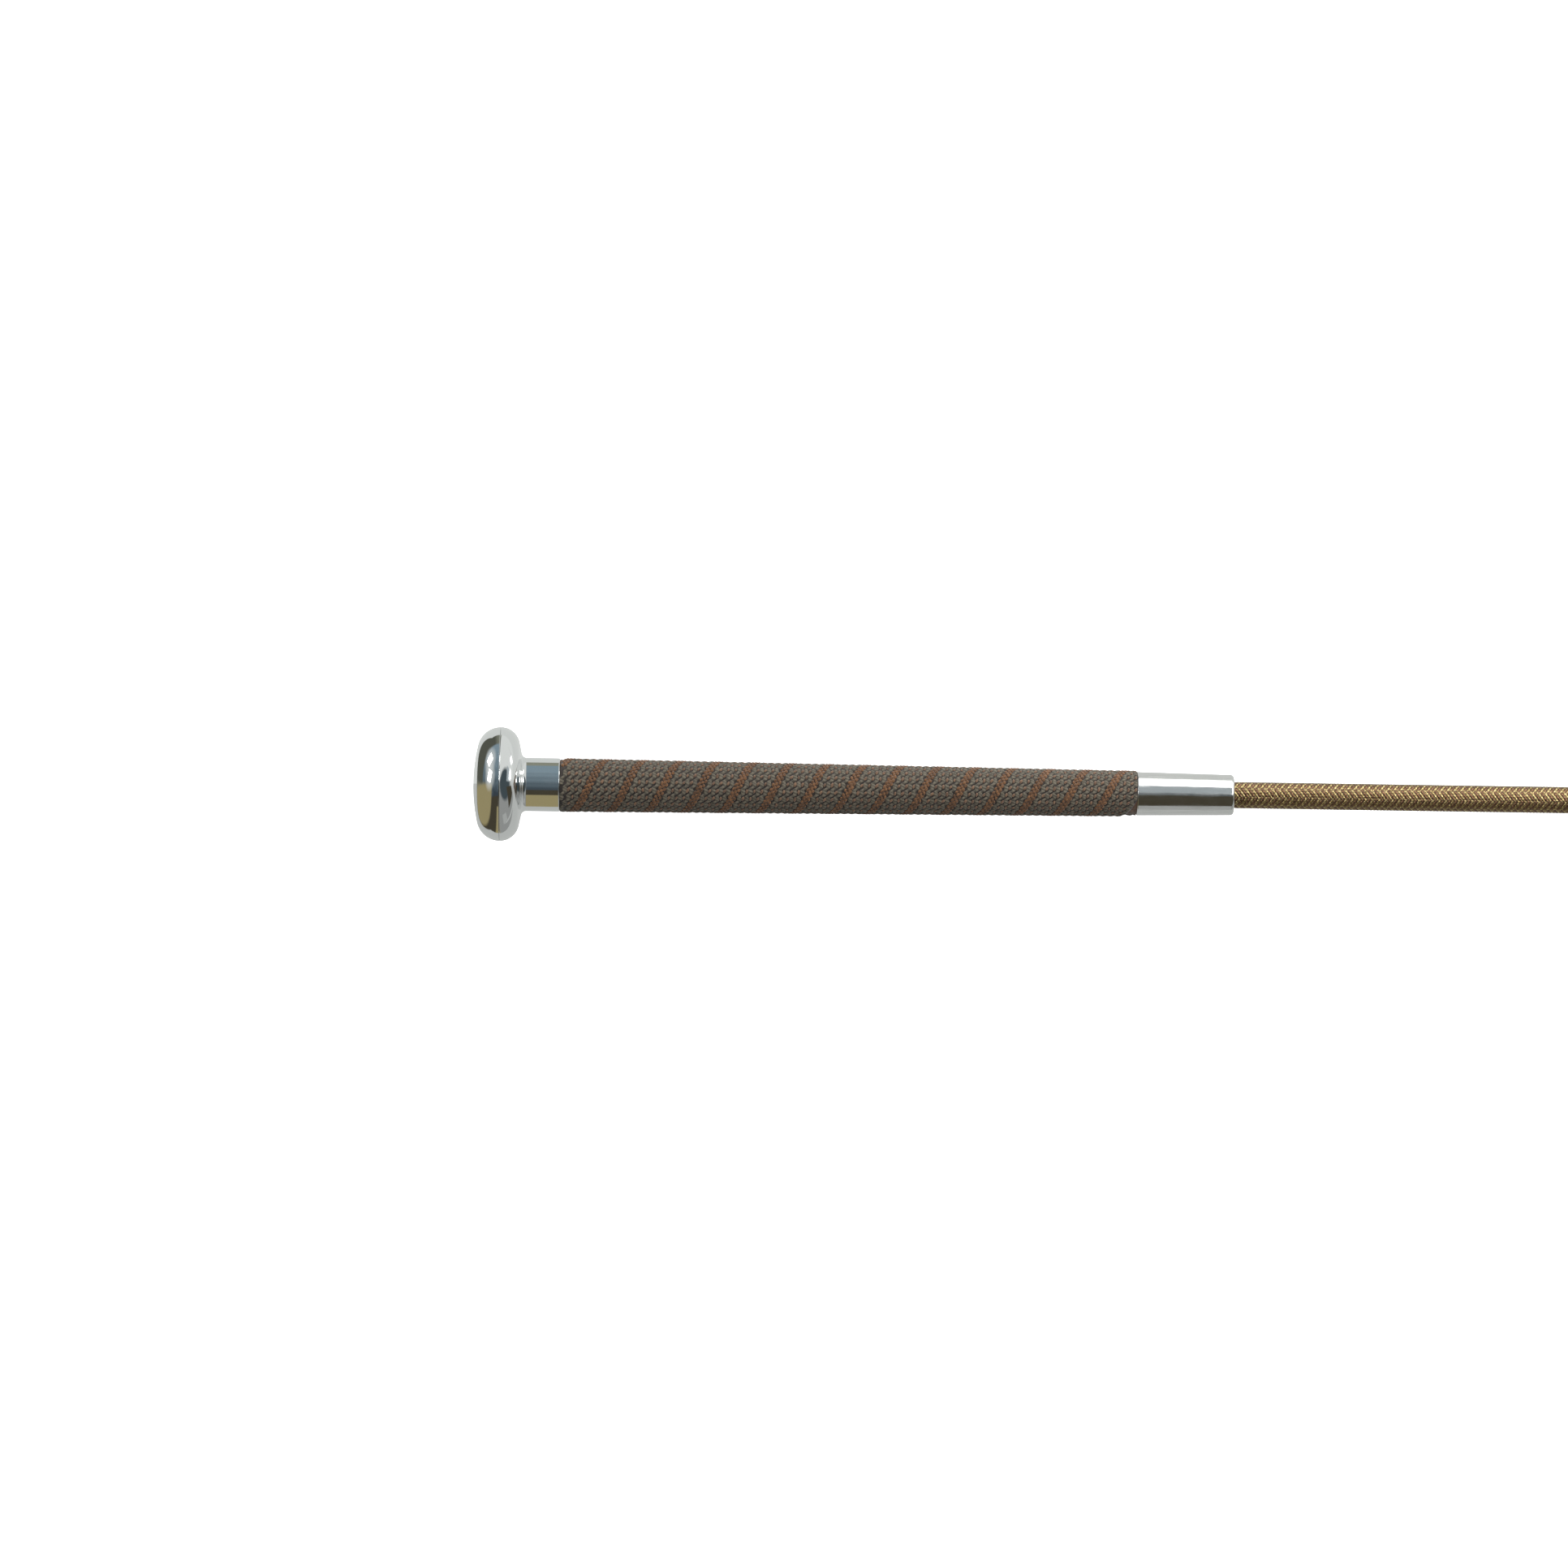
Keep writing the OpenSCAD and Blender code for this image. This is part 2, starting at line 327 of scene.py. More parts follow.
def both(tree, first, second):
    """The product of two values."""
    return add(tree, "ShaderNodeMath", {"operation": "MULTIPLY"}, _0=first, _1=second).outputs[0]


def times_plus(tree, value, factor, more):
    """A value times a factor, plus more."""
    return add(tree, "ShaderNodeMath", {"operation": "MULTIPLY_ADD"},
               _0=value, _1=factor, _2=more).outputs[0]


def relief(tree, shader, height, depth):
    """Bump on a shader from a height between 0 and 1 that stands for a depth in metres."""
    bump = add(tree, "ShaderNodeBump", Height=height, Distance=depth)
    tree.links.new(bump.outputs["Normal"], shader.inputs["Normal"])


def chrome(name, tint):
    """Polished chrome plate: a mirror with a faint polishing haze and hair-fine wiping marks."""
    material, tree, shader = new_material(name, tint, 0.04, Metallic=1.0)
    haze = noise_on(tree, place_on(tree), 180, 6)
    wipes = noise_on(tree, place_on(tree, (1, 1, 0.12)), 2600, 2)
    tree.links.new(spread(tree, haze, 0.35, 0.75, 0.05, 0.10), shader.inputs["Roughness"])
    relief(tree, shader, wipes, 0.6e-6)
    return material


def drawn_metal(name, tint):
    """Drawn and polished aluminium: lengthwise draw lines, small handling marks and a soft mirror."""
    material, tree, shader = new_material(name, tint, 0.14, Metallic=1.0)
    lines = noise_on(tree, place_on(tree, (0.02, 1, 1)), 5200, 3)
    marks = noise_on(tree, place_on(tree, (0.5, 1, 1)), 420, 5)
    tree.links.new(spread(tree, marks, 0.35, 0.75, 0.1, 0.24), shader.inputs["Roughness"])
    tree.links.new(blended(tree, spread(tree, lines, 0.35, 0.65), [c * 0.9 for c in tint], tint),
                   shader.inputs["Base Color"])
    relief(tree, shader, lines, 3e-6)
    return material


def thread(name, dark, light, roughness, strand, ply, sheen=0.3, gloss=0.0):
    """Twisted thread: slanting fibres along the strand, dye that varies, and painted shade in the grooves between
    the fibres.
    """
    material, tree, shader = new_material(name, light, roughness, Sheen_Weight=sheen, Sheen_Roughness=0.4,
                                    Metallic=gloss)
    along = add(tree, "ShaderNodeAttribute", {"attribute_name": "along"}).outputs["Fac"]
    side = add(tree, "ShaderNodeAttribute", {"attribute_name": "side"}).outputs["Fac"]
    slant = times_plus(tree, side, ply, both(tree, along, math.tau / strand))
    wave = add(tree, "ShaderNodeMath", {"operation": "SINE"}, _0=slant).outputs[0]
    dye = noise_on(tree, place_on(tree), 900, 5)
    fuzz = noise_on(tree, place_on(tree), 9000, 2)
    # The twist's wave darkens the colour in the grooves between the fibres, where the bump is low. This is painted
    # shade on top of the uneven dye.
    dye_and_groove_shade = spread(tree, times_plus(tree, wave, 0.22, dye), 0.25, 0.75)
    tree.links.new(blended(tree, dye_and_groove_shade, dark, light), shader.inputs["Base Color"])
    relief(tree, shader, times_plus(tree, wave, 0.5, fuzz), 5e-5)
    return material


def fuzzy(name, dark, light, roughness, grain, depth, sheen=0.35):
    """Dull fibre or cloth with an uneven dye and a fuzzy surface."""
    material, tree, shader = new_material(name, light, roughness, Sheen_Weight=sheen, Sheen_Roughness=0.5)
    dye = noise_on(tree, place_on(tree), grain, 6)
    fibres = noise_on(tree, place_on(tree), grain * 6, 3)
    tree.links.new(blended(tree, spread(tree, dye, 0.35, 0.68), dark, light), shader.inputs["Base Color"])
    relief(tree, shader, fibres, depth)
    return material


def moulded(name, tint, roughness):
    """Moulded plastic or ground resin: a fine even grain with cloudy gloss."""
    material, tree, shader = new_material(name, tint, roughness)
    clouds = noise_on(tree, place_on(tree), 240, 5)
    grain = noise_on(tree, place_on(tree), 4200, 2)
    tree.links.new(spread(tree, clouds, 0.3, 0.7, roughness * 0.8, min(1, roughness * 1.25)),
                   shader.inputs["Roughness"])
    tree.links.new(blended(tree, clouds, [c * 0.8 for c in tint], tint), shader.inputs["Base Color"])
    relief(tree, shader, grain, 2e-5)
    return material


# ---------------------------------------------------------------- sizes and colours

def length(name, text, default, most=0.2):
    return bpy.props.FloatProperty(name=name, description=text, default=default, min=0, max=most,
                                   unit="LENGTH", subtype="DISTANCE", precision=5)


def turn(name, text, degrees):
    return bpy.props.FloatProperty(name=name, description=text, default=math.radians(degrees),
                                   unit="ROTATION", subtype="ANGLE")


def count(name, text, default):
    return bpy.props.IntProperty(name=name, description=text, default=default, min=1)


def amount(name, text, default):
    return bpy.props.FloatProperty(name=name, description=text, default=default, min=0)


def colour(name, text, default):
    return bpy.props.FloatVectorProperty(name=name, description=text, default=default, size=3,
                                         min=0, max=1, subtype="COLOR")


class WhipStage(bpy.types.PropertyGroup):
    view_angle: turn("View angle", "Field of view of the camera", 12)
    view_turn: turn("View turn", "How far the camera is turned about its own line of sight", 0.87)
    view_height: length("View height", "Height of the camera over the table", 2.24, 5)
    view_station: length("View station", "Distance from the crown to the middle of the view", 0.0926, 1)
    view_side: length("View side", "Distance from the whip's axis to the middle of the view", 0.00128)
    table_size: length("Table size", "Side of the square table", 14, 30)
    table_glow: amount("Table glow", "Brightness of the light table", 0.9)
    sky_fill: amount("Sky fill", "Brightness of the even light from all round", 0.32)
    key_light: amount("Key light", "Brightness of the soft boxes beside the shaft", 2.4)
    lamp_light: amount("Lamp light", "Brightness of the small lamps round the cap", 9.0)
    room: colour("Room", "Colour of the room's lit side", (0.23, 0.31, 0.36))
    shade: colour("Shade", "Colour of the room's dim side", (0.045, 0.060, 0.074))
    wall: colour("Wall", "Colour of the wall on the near side", (0.34, 0.29, 0.15))
    dark: colour("Dark", "Colour of the gaps between the room's walls", (0.062, 0.054, 0.036))
    rim: colour("Rim", "Colour of the table beyond the paper", (0.29, 0.30, 0.24))
    screen: colour("Screen", "Colour of the white screen at the far side", (0.78, 0.80, 0.78))
    overhead: colour("Overhead", "Colour of the ceiling over the screen", (0.06, 0.08, 0.09))
    paper: colour("Paper", "Colour of the paper on the table", (0.70, 0.72, 0.70))


class WhipCap(bpy.types.PropertyGroup):
    shoulder: length("Shoulder", "Rounding of the rim towards the crown", 0.007)
    heel: length("Heel", "Rounding of the rim towards the handle", 0.0057)
    slope: turn("Slope", "Slope of the back of the head", 12)
    fillet: length("Fillet", "Fillet between the head and the neck", 0.0015)
    shell: length("Shell", "Thickness of the pressed shells", 0.0009)
    neck_wall: length("Neck wall", "Wall of the neck", 0.001)
    web: length("Web", "Thickness of the web inside the head", 0.0016)
    screw_hole: length("Screw hole", "Radius of the hole for the cap's screw", 0.0022)
    seam: length("Seam", "Rounding of the edges that meet at the seam", 0.00012)
    edge: length("Edge", "Rounding of the neck's end", 0.0003)
    tint: colour("Tint", "Colour of the chrome", (0.80, 0.81, 0.81))


class WhipFerrule(bpy.types.PropertyGroup):
    edge: length("Edge", "Rounding of the front edge", 0.001)
    back_edge: length("Back edge", "Rounding of the edge at the grip", 0.0003)
    lip: length("Lip", "Thickness of the front lip", 0.002)
    wall: length("Wall", "Wall at the front", 0.0005)
    tint: colour("Tint", "Colour of the metal", (0.78, 0.78, 0.77))


class WhipGrip(bpy.types.PropertyGroup):
    lead: length("Lead", "Distance that the tape moves along in one turn", 0.02205)
    lanes: count("Lanes", "Cords and ribs side by side in the tape", 10)
    rib_every: count("Rib every", "Lanes from one rust-coloured rib to the next", 5)
    start_cut: turn("Start cut", "Part of a turn that the tape's cut start leaves open at the neck", 47)
    end_cut: turn("End cut", "Part of a turn that the tape's cut end leaves open at the ferrule", 86)
    start_turn: turn("Start turn", "Angle from the top at which the tape's edge leaves the neck", 55.2)
    cord_wide: length("Cord width", "Width of a grey cord", 0.0014)
    cord_high: length("Cord height", "Height of a grey cord", 0.00075)
    waves: count("Waves", "Waves of a cord in one turn", 20)
    wave_reach: length("Wave reach", "How far a cord waves to each side", 0.00036)
    knot_long: length("Knot length", "Length of a weft knot between the cords", 0.0015)
    rib_knots: count("Rib knots", "Knots in one turn of a rib's row", 36)
    backing: length("Backing", "Thickness of the tape's backing", 0.0003)
    # The cords' dark and light dyes are also the two ends of the painted shade in the grooves between their
    # twisted fibres.
    cord_dark: colour("Cord, dark", "Darker dye of the grey cords", (0.066, 0.058, 0.042))
    cord_light: colour("Cord, light", "Lighter dye of the grey cords", (0.172, 0.149, 0.108))
    knot_dark: colour("Knot, dark", "Darker dye of the weft knots", (0.100, 0.056, 0.032))
    knot_light: colour("Knot, light", "Lighter dye of the weft knots", (0.260, 0.150, 0.084))
    rib_dark: colour("Rib, dark", "Darker dye of the ribs", (0.075, 0.032, 0.010))
    rib_light: colour("Rib, light", "Lighter dye of the ribs", (0.240, 0.108, 0.038))
    backing_tint: colour("Backing colour", "Colour of the tape's backing", (0.045, 0.034, 0.027))


class WhipBraid(bpy.types.PropertyGroup):
    lead: length("Lead", "Distance that a strand moves along in one turn", 0.0159)
    carriers: count("Carriers", "Strands wound each way", 8)
    per_turn: count("Steps", "Steps of a strand's mesh in one turn", 24)
    thread_high: length("Thread height", "Height of a thread", 0.00042)
    lift: length("Lift", "How far a strand rises and sinks as it crosses the others", 0.00013)
    over_turn: turn("Over turn", "Angle from the top of a row where the right-hand strands lie on top", 14.5)
    # The threads' dark and light dyes are also the two ends of the painted shade in the grooves between their
    # twisted fibres.
    gold_dark: colour("Gold, dark", "Darker dye of the gold threads", (0.26, 0.185, 0.075))
    gold_light: colour("Gold, light", "Lighter dye of the gold threads", (0.50, 0.40, 0.20))
    brown_dark: colour("Brown, dark", "Darker dye of the brown threads", (0.13, 0.070, 0.040))
    brown_light: colour("Brown, light", "Lighter dye of the brown threads", (0.25, 0.145, 0.085))


class WhipTip(bpy.types.PropertyGroup):
    thread: length("Thread", "Diameter of the binding thread", 0.0004)
    yarns: count("Yarns", "Yarns in the lash", 30)
    yarn_wide: length("Yarn width", "Width of one yarn", 0.0008)
    yarn_high: length("Yarn height", "Height of one yarn", 0.0005)
    yarn_twist: length("Yarn twist", "Length of one twist of a yarn", 0.004)
    fan: length("Fan", "How far the outer yarns stray to the side at the end", 0.0035)
    # The binding thread's dark and light dyes are also the two ends of the painted shade in the grooves between
    # its twisted fibres.
    thread_dark: colour("Thread, dark", "Darker dye of the binding thread", (0.055, 0.032, 0.018))
    thread_light: colour("Thread, light", "Lighter dye of the binding thread", (0.15, 0.090, 0.050))
    yarn_dark: colour("Yarn, dark", "Darker dye of the lash", (0.24, 0.16, 0.075))
    yarn_light: colour("Yarn, light", "Lighter dye of the lash", (0.47, 0.36, 0.19))


# Ways from the cap to the two lamps that glow behind it, and to the two in front of it
LAMPS = (-0.730, 0.241, 0.638), (-0.669, 0.650, 0.361)
FRONT_LAMPS = (0.876, 0.214, 0.433), (0.85, 0.53, 0.06)
LAMP_REACH = 0.55


def off_soft_boxes():
    """The collection of pieces that the two soft boxes beside the shaft don't light."""
    name = "off_soft_boxes"
    return bpy.data.collections.get(name) or bpy.data.collections.new(name)


# ---------------------------------------------------------------- operators

class WHIP_OT_stage(bpy.types.Operator):
    """Sets the camera, the light table and the soft lights"""
    bl_idname = "whip.stage"
    bl_label = "Stage"

    def execute(self, context):
        sizes = context.scene.whip_stage
        cap = WHIP @ Vector((CAP_DOME.stations[-1], 0, 0))
        ferrule = WHIP @ Vector((FERRULE.stations.mean(), 0, 0))
        self.set_camera(context, sizes)
        self.set_table(sizes, cap)
        self.set_world(context, sizes)
        self.set_lights(sizes, cap, ferrule)
        context.scene.view_settings.view_transform = "Standard"
        return {"FINISHED"}

    def set_camera(self, context, sizes):
        data = bpy.data.cameras.new("camera")
        data.angle = sizes.view_angle
        camera = bpy.data.objects.new("camera", data)
        context.scene.collection.objects.link(camera)
        middle = WHIP @ Vector((sizes.view_station, sizes.view_side, 0))
        camera.location = (middle.x, middle.y, sizes.view_height)
        camera.rotation_euler = (0, 0, sizes.view_turn)
        context.scene.camera = camera

    def set_table(self, sizes, cap):
        """A pale glowing table, and the sheets of paper that polished metal sees on it."""
        table = self.card("table", (0, 0, -2e-4), (sizes.table_size,) * 2, (1, 1, 1), sizes.table_glow)
        diffuse = table.active_material.node_tree.nodes["Principled BSDF"]
        diffuse.inputs["Base Color"].default_value = (0.9, 0.9, 0.9, 1)
        table.visible_glossy = table.visible_diffuse = False
        # Each sheet: its sides from the cap and from the whip's axis, and how bright it is
        for name, left, right, low, high, glow in (("paper_far", -0.026, 2, 0, 0.062, 1),
                                                   ("paper_far_wide", 0.215, 2, 0.062, 0.4, 1),
                                                   ("paper_near", -0.026, 2, -0.062, 0, 0.74),
                                                   ("paper_near_wide", 0.13, 0.29, -0.4, -0.062, 0.74)):
            middle = (cap.x + (left + right) / 2, (low + high) / 2, -1e-4)
            self.card(name, middle, (right - left, high - low), sizes.paper, glow, True)

    def card(self, name, place, size, tint, glow, metal_only=False, turned=0):
        """A flat card, turned about X. One for metal only is hidden from the camera and casts no light."""
        bm = bmesh.new()
        where = Matrix.Translation(place) @ Matrix.Rotation(turned, 4, "X")
        bmesh.ops.create_grid(bm, x_segments=1, y_segments=1, size=0.5,
                              matrix=where @ Matrix.Diagonal((*size, 1, 1)))
        mesh = bpy.data.meshes.new(name)
        bm.to_mesh(mesh)
        bm.free()
        card = bpy.data.objects.new(name, mesh)
        bpy.context.scene.collection.objects.link(card)
        material, _, shader = new_material(name, (0, 0, 0), 1.0, Specular_IOR_Level=0)
        shader.inputs["Emission Color"].default_value = (*tint, 1)
        shader.inputs["Emission Strength"].default_value = glow
        mesh.materials.append(material)
        if metal_only:
            card.visible_camera = card.visible_diffuse = card.visible_shadow = False
            card.visible_transmission = False
        return card

    def set_world(self, context, sizes):
        """Even light for everything, and the room that only polished metal sees."""
        world = bpy.data.worlds.new("studio")
        world.use_nodes = True
        tree = world.node_tree
        ray = add(tree, "ShaderNodeLightPath")
        where = add(tree, "ShaderNodeTexCoord").outputs["Generated"]
        x, y, z = add(tree, "ShaderNodeSeparateXYZ", Vector=where).outputs
        room = self.room(tree, sizes, where, (x, y, z))
        screen = self.screen(tree, sizes, where, y, z)
        seen = blended(tree, spread(tree, x, 0.03, 0.05), room, screen)
        fill = add(tree, "ShaderNodeBackground", Color=(1, 1, 1, 1), Strength=sizes.sky_fill)
        backdrop = add(tree, "ShaderNodeBackground", Color=(1, 1, 1, 1), Strength=1)
        mirror = add(tree, "ShaderNodeBackground", Color=seen, Strength=1)
        plain = add(tree, "ShaderNodeMixShader", _0=ray.outputs["Is Camera Ray"],
                    _1=fill.outputs[0], _2=backdrop.outputs[0])
        whole = add(tree, "ShaderNodeMixShader", _0=ray.outputs["Is Glossy Ray"],
                    _1=plain.outputs[0], _2=mirror.outputs[0])
        tree.links.new(whole.outputs[0], tree.nodes["World Output"].inputs["Surface"])
        context.scene.world = world

    def room(self, tree, sizes, where, ways):
        """What metal sees behind the cap: the room, its walls, the table's rim and the lamps' glow."""
        x, y, z = ways
        uneven = times_plus(tree, noise_on(tree, where, 5, 3), 0.8, y)
        room = blended(tree, spread(tree, uneven, 0.0, 1.3), sizes.shade, sizes.room)
        room = blended(tree, spread(tree, y, -0.38, -0.43), room, sizes.dark)
        near_wall = both(tree, spread(tree, x, -0.2, -0.15), spread(tree, y, -0.70, -0.74))
        left_wall = both(tree, spread(tree, x, -0.56, -0.64), spread(tree, y, 0.06, -0.04))
        room = blended(tree, near_wall, room, sizes.wall)
        room = blended(tree, left_wall, room, sizes.wall)
        rim = blended(tree, spread(tree, x, -0.3, 0.0), [c * 0.33 for c in sizes.rim], sizes.rim)
        below_far = both(tree, spread(tree, z, 0.04, -0.04), spread(tree, y, -0.02, 0.04))
        room = blended(tree, below_far, room, rim)
        for way in LAMPS:
            aim = add(tree, "ShaderNodeVectorMath", {"operation": "DOT_PRODUCT"}, _0=where, _1=way)
            glow = spread(tree, aim.outputs["Value"], 0.88, 1.0, 0, 0.8)
            room = blended(tree, glow, room, sizes.screen)
        return room

    def screen(self, tree, sizes, where, y, z):
        """What metal sees past the ferrule: a white screen, dimmer on the near side, and a dark ceiling."""
        screen = blended(tree, spread(tree, y, -0.25, 0.15), [c * 0.40 for c in sizes.screen], sizes.screen)
        middle, half_long, half_wide = 0.50, 0.42, 0.50
        across = add(tree, "ShaderNodeVectorMath", {"operation": "MULTIPLY_ADD"}, _0=where,
                     _1=(1 / half_long, 1 / half_wide, 0), _2=(-middle / half_long, 0, 0)).outputs[0]
        off = add(tree, "ShaderNodeVectorMath", {"operation": "LENGTH"}, _0=across).outputs["Value"]
        ceiling = both(tree, spread(tree, off, 1.12, 0.9), spread(tree, z, 0, 0.1))
        return blended(tree, ceiling, screen, sizes.overhead)

    def light(self, name, place, target, size, brightness):
        """A soft box of the given brightness, which the camera doesn't see."""
        data = bpy.data.lights.new(name, "AREA")
        data.shape = "RECTANGLE"
        data.size, data.size_y = size
        data.energy = brightness * math.pi * size[0] * size[1]
        lamp = bpy.data.objects.new(name, data)
        bpy.context.scene.collection.objects.link(lamp)
        lamp.location = place
        lamp.rotation_euler = (Vector(target) - Vector(place)).to_track_quat("-Z", "Y").to_euler()
        lamp.visible_camera = False
        return lamp

    def set_lights(self, sizes, cap, ferrule):
        """Soft boxes for the shaft and the tip, lamps round the cap, and cards that the ferrule mirrors."""
        boxes = (self.light("key_soft_box", ferrule + Vector((0.15, 0.30, 0.185)),
                            ferrule + Vector((0.15, 0, 0.1)), (0.46, 0.36), sizes.key_light * 0.7),
                 self.light("shaft_soft_box", ferrule + Vector((0.325, 0.20, 0.36)),
                            ferrule + Vector((0.325, 0, 0)), (0.5, 0.40), sizes.key_light))
        for box in boxes:
            box.light_linking.receiver_collection = off_soft_boxes()
        tip = WHIP @ Vector((BINDING.stations[0], 0, 0))
        self.light("tip_soft_box", tip + Vector((0, 0.25, 0.40)), tip, (0.4, 0.3), sizes.key_light * 1.2)
        for name, way in zip(("lamp_high", "lamp_low"), LAMPS):
            self.light(name, cap + Vector(way) * LAMP_REACH, cap, (0.19, 0.15), sizes.lamp_light)
        for name, way in zip(("lamp_front", "lamp_front_low"), FRONT_LAMPS):
            self.light(name, cap + Vector(way) * LAMP_REACH, cap, (0.10, 0.08), sizes.lamp_light)
        # Each card: its place from the ferrule, size, colour, brightness and turn about X
        for name, place, size, tint, glow, turned in (
                ("low_reflector", (0, -0.40, 0.085), (0.16, 0.18), sizes.paper, 0.6, 90),
                ("blue_screen", (0.03, 0.085, 0.175), (0.14, 0.13), (0.40, 0.45, 0.47), 1, -22.6),
                ("dark_screen", (0.23, -0.08, 0.13), (0.54, 0.18), sizes.dark, 1, 49.4)):
            self.card(name, ferrule + Vector(place), size, tint, glow, True, math.radians(turned))


class WHIP_OT_cap(bpy.types.Operator):
    """Spins the two chromed shells of the mushroom cap"""
    bl_idname = "whip.cap"
    bl_label = "Mushroom cap"

    def execute(self, context):
        sizes = context.scene.whip_cap
        metal = chrome("cap_chrome", tuple(sizes.tint))
        self.rim = CAP_BACK.stations[0]
        self.radius = CAP_BACK.radii.max()
        off = off_soft_boxes()
        for name, mesh, node in (("cap_dome_shell", self.dome(sizes), "cap_dome"),
                                 ("cap_back_shell", self.back(sizes), "cap_back")):
            off.objects.link(finish_piece(name, mesh, metal, nodes=[node]))
        for shell in off.collection_objects:
            shell.light_linking.link_state = "EXCLUDE"
        return {"FINISHED"}

    def dome(self, sizes):
        """Front shell: a shallow dome that runs into the rim's shoulder, with a rolled edge at the seam."""
        centre = (self.rim, self.radius - sizes.shoulder)
        dome_r = (centre[1] ** 2 - sizes.shoulder ** 2 + self.rim ** 2) / (2 * (self.rim - sizes.shoulder))
        meet = math.degrees(math.atan2(centre[1], dome_r - centre[0]))
        end = CAP_DOME.stations[-1]
        last = math.degrees(math.acos((self.rim - end + sizes.seam) / sizes.shoulder))

        def side(inset):
            return (arc((dome_r, 0), dome_r - inset, 0, meet, 30)
                    + arc(centre, sizes.shoulder - inset, meet, last, 26)[1:])

        rolled = arc((end - sizes.seam, self.radius - sizes.seam), sizes.seam, 90, 180, 5)
        inner = side(sizes.shell)[::-1]
        return spun(side(0) + rolled + [(end, inner[0][1])] + inner, False)

    def back(self, sizes):
        """Back shell: heel, sloping back, fillet and neck outside, socket and web inside."""
        neck_end = CAP_BACK.stations[-1]
        neck_r = CAP_BACK.radii[-1]
        slope = math.degrees(sizes.slope)
        centre = (self.rim, self.radius - sizes.heel)
        across, along = math.sin(sizes.slope), math.cos(sizes.slope)
        heel = (centre[0] + sizes.heel * along, centre[1] + sizes.heel * across)
        fillet_r = neck_r + sizes.fillet
        fillet_s = heel[0] + (heel[1] - fillet_r) * across / along + sizes.fillet / along
        web_face = self.rim + (sizes.heel - sizes.shell) * along
        floor = web_face + sizes.web
        bore = neck_r - sizes.neck_wall
        start = 90 + math.degrees(math.asin(sizes.seam / sizes.heel))
        points = (arc((self.rim + sizes.seam, self.radius - sizes.seam), sizes.seam, 0, 90, 5)
                  + arc(centre, sizes.heel, start, 180 - slope, 26)
                  + arc((fillet_s, fillet_r), sizes.fillet, -slope, -90, 12)
                  + arc((neck_end - sizes.edge, neck_r - sizes.edge), sizes.edge, 90, 180, 6)
                  + [(neck_end, bore), (floor, bore)]
                  + [(floor, sizes.screw_hole), (web_face, sizes.screw_hole)]
                  + arc(centre, sizes.heel - sizes.shell, 180 - slope, 90, 20))
        return spun(points, True)


class WHIP_OT_ferrule(bpy.types.Operator):
    """Spins the polished ferrule with its rounded front edge"""
    bl_idname = "whip.ferrule"
    bl_label = "Ferrule"

    def execute(self, context):
        sizes = context.scene.whip_ferrule
        stations, radii = FERRULE
        start, end = stations[0], stations[-1]
        back_r = radii[0]
        front_r = np.interp(end - sizes.edge, stations, radii)
        bore = front_r - sizes.wall
        throat = BRAID.radii[0] + 0.05 * MM
        points = (arc((start + sizes.back_edge, back_r - sizes.back_edge), sizes.back_edge, 0, 90, 5)
                  + arc((end - sizes.edge, front_r - sizes.edge), sizes.edge, 90, 180, 12)
                  + [(end, throat), (end - sizes.lip, throat), (end - sizes.lip, bore), (start, bore)])
        metal = drawn_metal("ferrule_metal", tuple(sizes.tint))
        finish_piece("ferrule_sleeve", spun(points, True), metal, nodes=["ferrule"])
        return {"FINISHED"}


